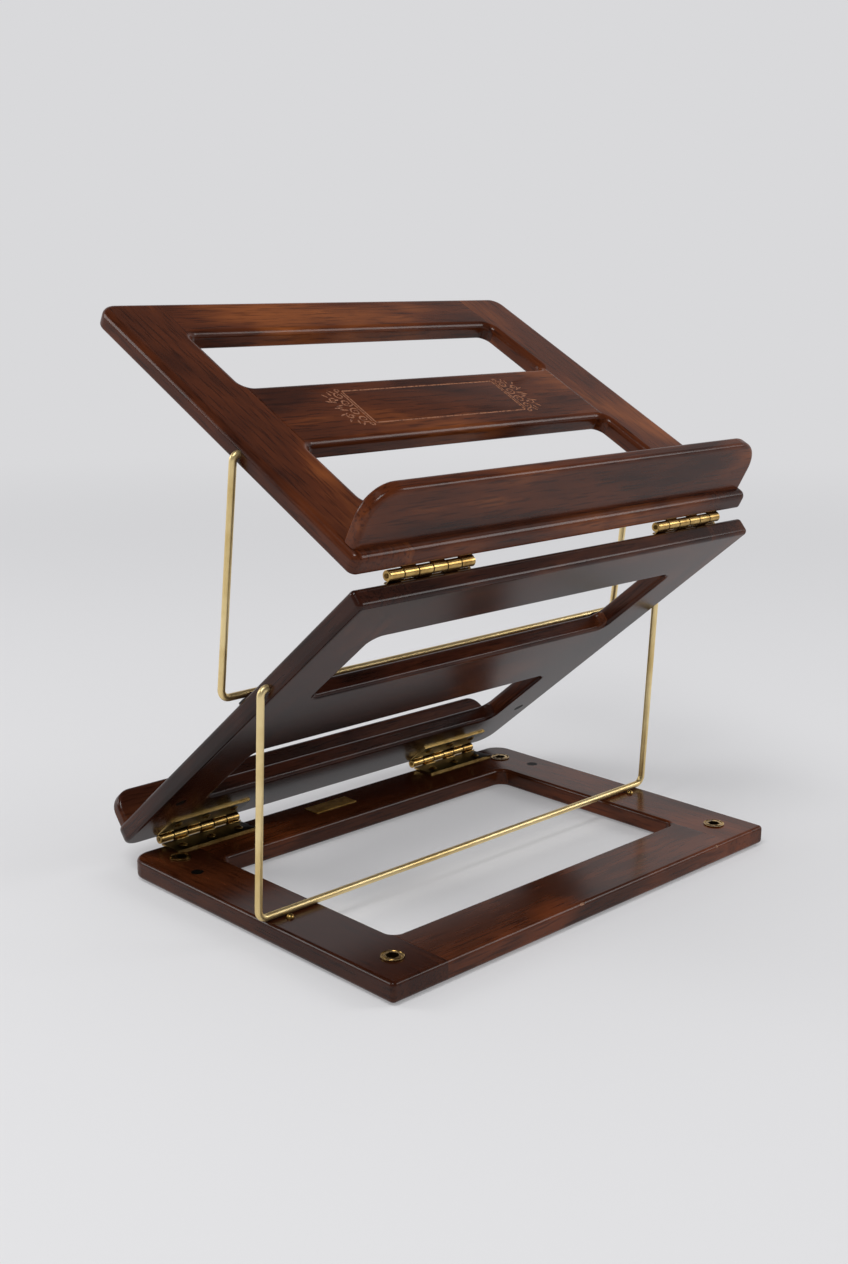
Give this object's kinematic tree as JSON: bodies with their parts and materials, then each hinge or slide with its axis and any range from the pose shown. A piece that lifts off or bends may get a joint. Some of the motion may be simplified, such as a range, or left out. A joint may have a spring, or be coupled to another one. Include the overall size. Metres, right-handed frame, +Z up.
{
  "type": "prayer book stand",
  "caption": "Folding two-tier tabletop book stand: flat base frame, leaning middle frame and sloping top board of dark wood, held up by brass wire bails.",
  "frame": {"origin": "on the table in the middle of the base frame's four threaded inserts", "axes": "+X to the right seen from the reader who sits on the -Y side, +Y away from that reader, +Z up"},
  "size_m": [0.3636, 0.2793, 0.3645],
  "materials": {
    "frame_wood": "dark red-brown mahogany stain, satin lacquer",
    "wire_brass": "polished drawn wire",
    "hinge_brass": "aged satin brass",
    "screw_brass": "satin brass screw heads",
    "insert_brass": "turned brass",
    "plate_brass": "thin plain brass sheet",
    "magnet_steel": "dark plated disc",
    "foot_rubber": "matt black rubber"
  },
  "bodies": {
    "base": {"base_back_rail": "frame_wood", "base_front_rail": "frame_wood", "base_left_stile": "frame_wood", "base_magnet_left": "magnet_steel", "base_magnet_right": "magnet_steel", "base_right_stile": "frame_wood", "blank_plate": "plate_brass", "foot_back_left": "foot_rubber", "foot_back_right": "foot_rubber", "foot_front_left": "foot_rubber", "foot_front_right": "foot_rubber", "insert_back_left": "insert_brass", "insert_back_right": "insert_brass", "insert_front_left": "insert_brass", "insert_front_right": "insert_brass", "lower_left_hinge_base_leaf": "hinge_brass", "lower_left_hinge_base_screws": "screw_brass", "lower_left_hinge_pin": "hinge_brass", "lower_right_hinge_base_leaf": "hinge_brass", "lower_right_hinge_base_screws": "screw_brass", "lower_right_hinge_pin": "hinge_brass", "stop_screw_left": "screw_brass", "stop_screw_right": "screw_brass"},
    "middle": {"bar_rest_left": "frame_wood", "bar_rest_right": "frame_wood", "lower_left_hinge_middle_leaf": "hinge_brass", "lower_left_hinge_middle_screws": "screw_brass", "lower_right_hinge_middle_leaf": "hinge_brass", "lower_right_hinge_middle_screws": "screw_brass", "middle_centre_rail": "frame_wood", "middle_ledge": "frame_wood", "middle_left_stile": "frame_wood", "middle_lower_rail": "frame_wood", "middle_magnet_left": "magnet_steel", "middle_magnet_right": "magnet_steel", "middle_right_stile": "frame_wood", "middle_upper_rail": "frame_wood", "upper_left_hinge_middle_leaf": "hinge_brass", "upper_left_hinge_middle_screws": "screw_brass", "upper_left_hinge_pin": "hinge_brass", "upper_right_hinge_middle_leaf": "hinge_brass", "upper_right_hinge_middle_screws": "screw_brass", "upper_right_hinge_pin": "hinge_brass"},
    "top": {"top_back_rail": "frame_wood", "top_centre_rail": "frame_wood", "top_front_rail": "frame_wood", "top_ledge": "frame_wood", "top_left_stile": "frame_wood", "top_right_stile": "frame_wood", "upper_left_hinge_top_leaf": "hinge_brass", "upper_left_hinge_top_screws": "screw_brass", "upper_right_hinge_top_leaf": "hinge_brass", "upper_right_hinge_top_screws": "screw_brass"},
    "lower_bail": {"lower_bail": "wire_brass"},
    "upper_bail": {"upper_bail": "wire_brass"}
  },
  "joints": [
    {"name": "lower_hinge", "type": "hinge", "parent": "base", "child": "middle", "pos_m": [0, 0.1305, 0.0172], "axis": [-1, 0, 0], "range_deg": [0, 55]},
    {"name": "lower_bail_swing", "type": "hinge", "parent": "middle", "child": "lower_bail", "pos_m": [0, -0.02254, 0.15763], "axis": [1, 0, 0], "range_deg": [0, 43.5]},
    {"name": "upper_hinge", "type": "hinge", "parent": "middle", "child": "top", "pos_m": [0, -0.09285, 0.22863], "axis": [-1, 0, 0], "range_deg": [0, 67.8]},
    {"name": "upper_bail_swing", "type": "hinge", "parent": "top", "child": "upper_bail", "pos_m": [0, -0.00116, 0.28737], "axis": [1, 0, 0], "range_deg": [0, 107.3]}
  ],
  "couplings": [
    {"joint": "upper_bail_swing", "follows": "upper_hinge", "ratio": 1.5818}
  ]
}
